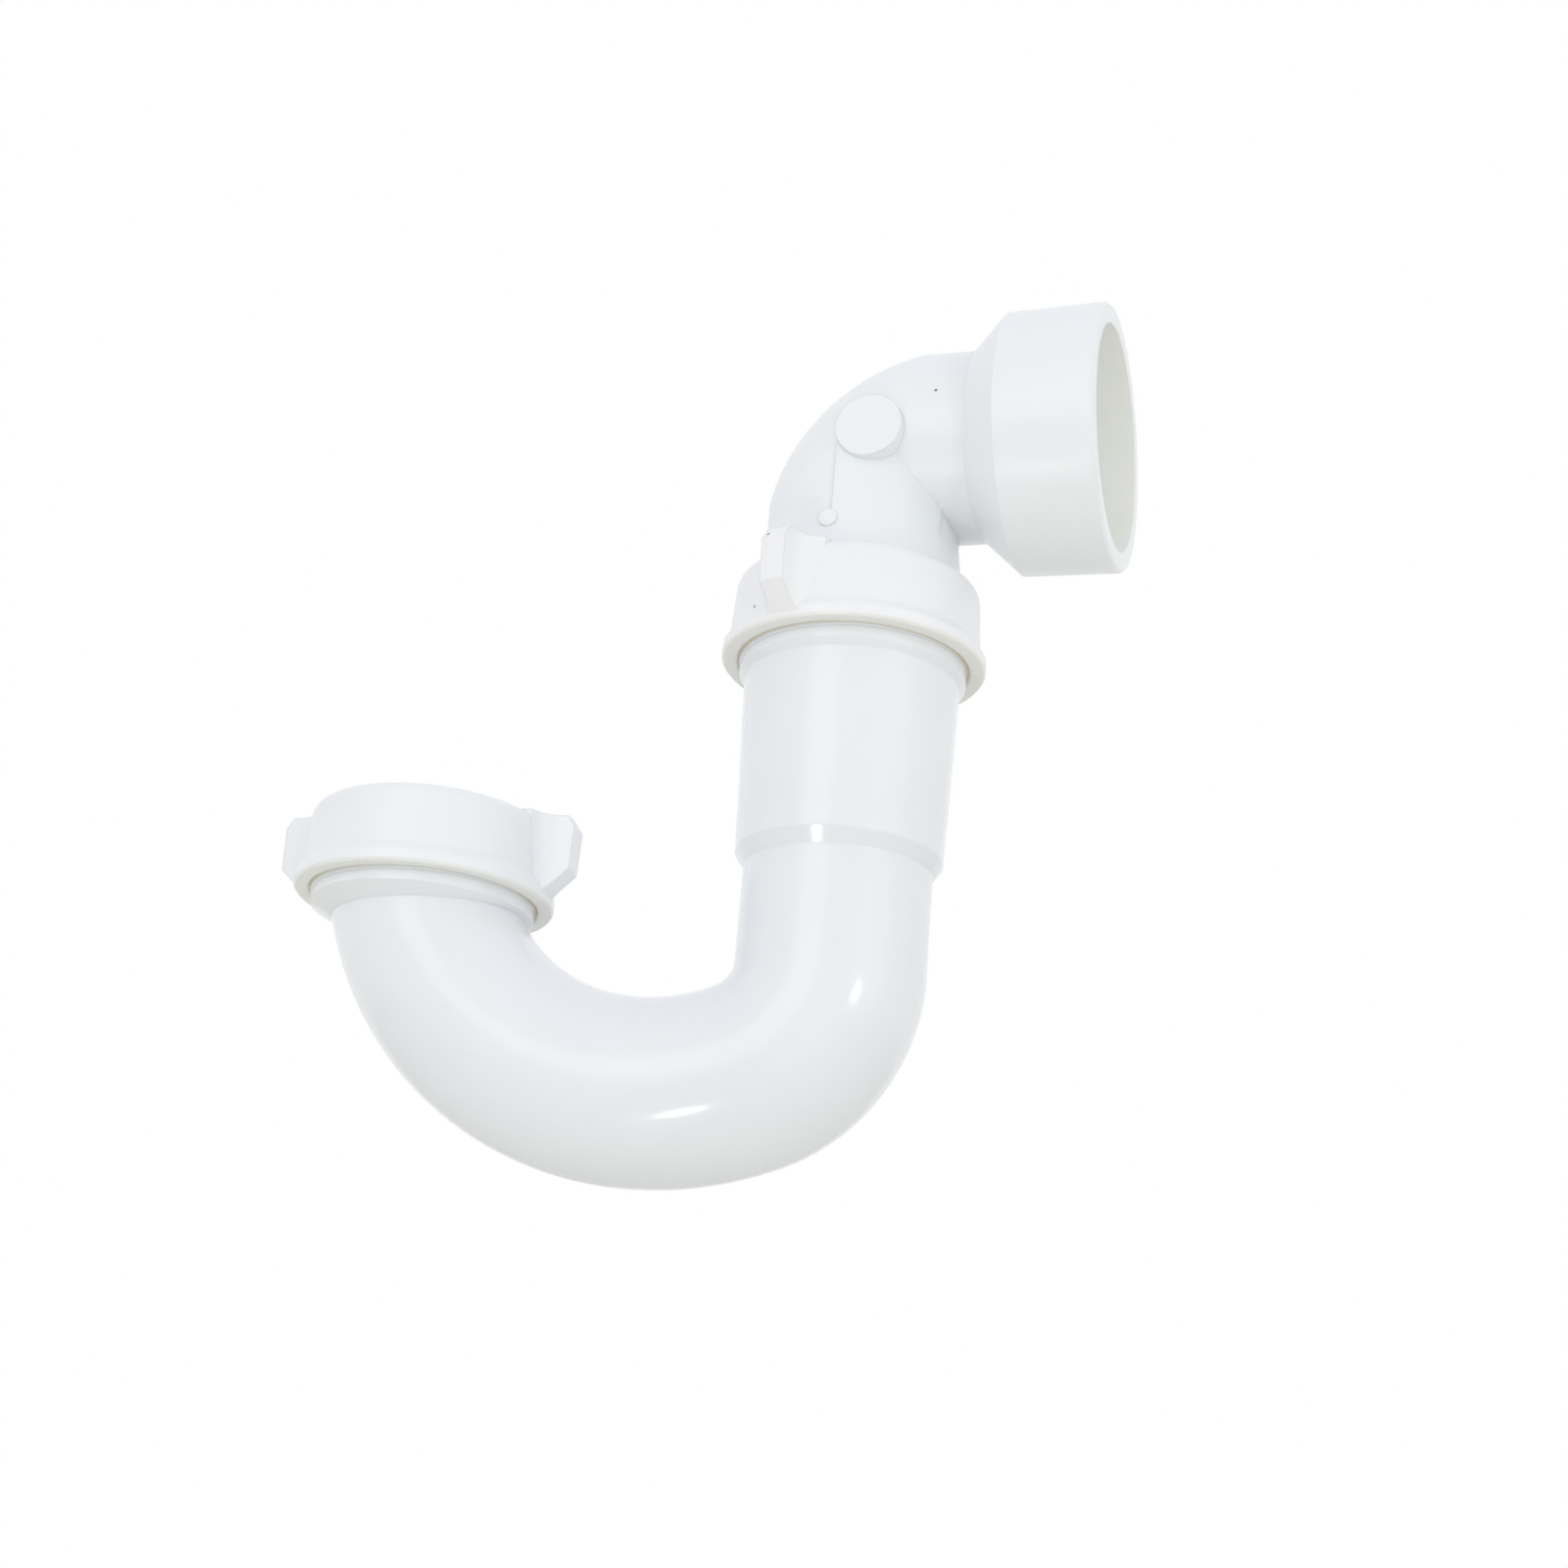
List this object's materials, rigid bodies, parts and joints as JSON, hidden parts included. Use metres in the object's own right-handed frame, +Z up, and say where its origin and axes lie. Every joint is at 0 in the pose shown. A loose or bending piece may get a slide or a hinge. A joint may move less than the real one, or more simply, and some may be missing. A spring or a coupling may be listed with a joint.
{
  "type": "slip joint sink trap",
  "caption": "White PVC sink trap: a J bend with winged slip nuts, a long barrel on its riser and an elbow whose spigot telescopes and swivels in it, ending in a pipe hub.",
  "frame": {"origin": "centre of the inlet socket's mouth, where the sink tailpiece goes in", "axes": "+Z up along the inlet axis, towards the sink; +X from the inlet towards the riser and the outlet hub; +Y away from the viewer"},
  "size_m": [0.1802, 0.0658, 0.1907],
  "materials": {
    "bend_pvc": "glossy moulded PVC, near white",
    "elbow_pvc": "glossy moulded PVC, a slightly cooler white",
    "nut_plastic": "satin moulded plastic, a slightly warmer white",
    "washer_plastic": "soft satin polyethylene"
  },
  "bodies": {
    "elbow": {"outlet_elbow": "elbow_pvc"},
    "outlet_washer": {"outlet_washer": "washer_plastic"},
    "trap": {"trap_bend": "bend_pvc"},
    "outlet_nut": {"outlet_nut": "nut_plastic"},
    "inlet_washer": {"inlet_washer": "washer_plastic"},
    "inlet_nut": {"inlet_nut": "nut_plastic"}
  },
  "joints": [
    {"name": "riser_slide", "type": "slide", "parent": "elbow", "child": "outlet_washer", "axis": [0, 0, -1], "range_m": [0, 0.02]},
    {"name": "riser_swivel", "type": "hinge", "parent": "outlet_washer", "child": "trap", "pos_m": [0.0924, 0, 0.05], "axis": [0, 0, 1], "continuous": true},
    {"name": "outlet_nut_turn", "type": "hinge", "parent": "trap", "child": "outlet_nut", "pos_m": [0.0924, 0, 0.048], "axis": [0, 0, 1], "range_deg": [0, 90]},
    {"name": "inlet_nut_rise", "type": "slide", "parent": "trap", "child": "inlet_washer", "axis": [0, 0, 1], "range_m": [0, 0.0122]},
    {"name": "inlet_nut_turn", "type": "hinge", "parent": "inlet_washer", "child": "inlet_nut", "pos_m": [0, 0, 0], "axis": [0, 0, 1], "range_deg": [0, 1980]}
  ],
  "couplings": [
    {"joint": "inlet_nut_rise", "follows": "inlet_nut_turn", "m_per_rad": 0.0003516}
  ]
}
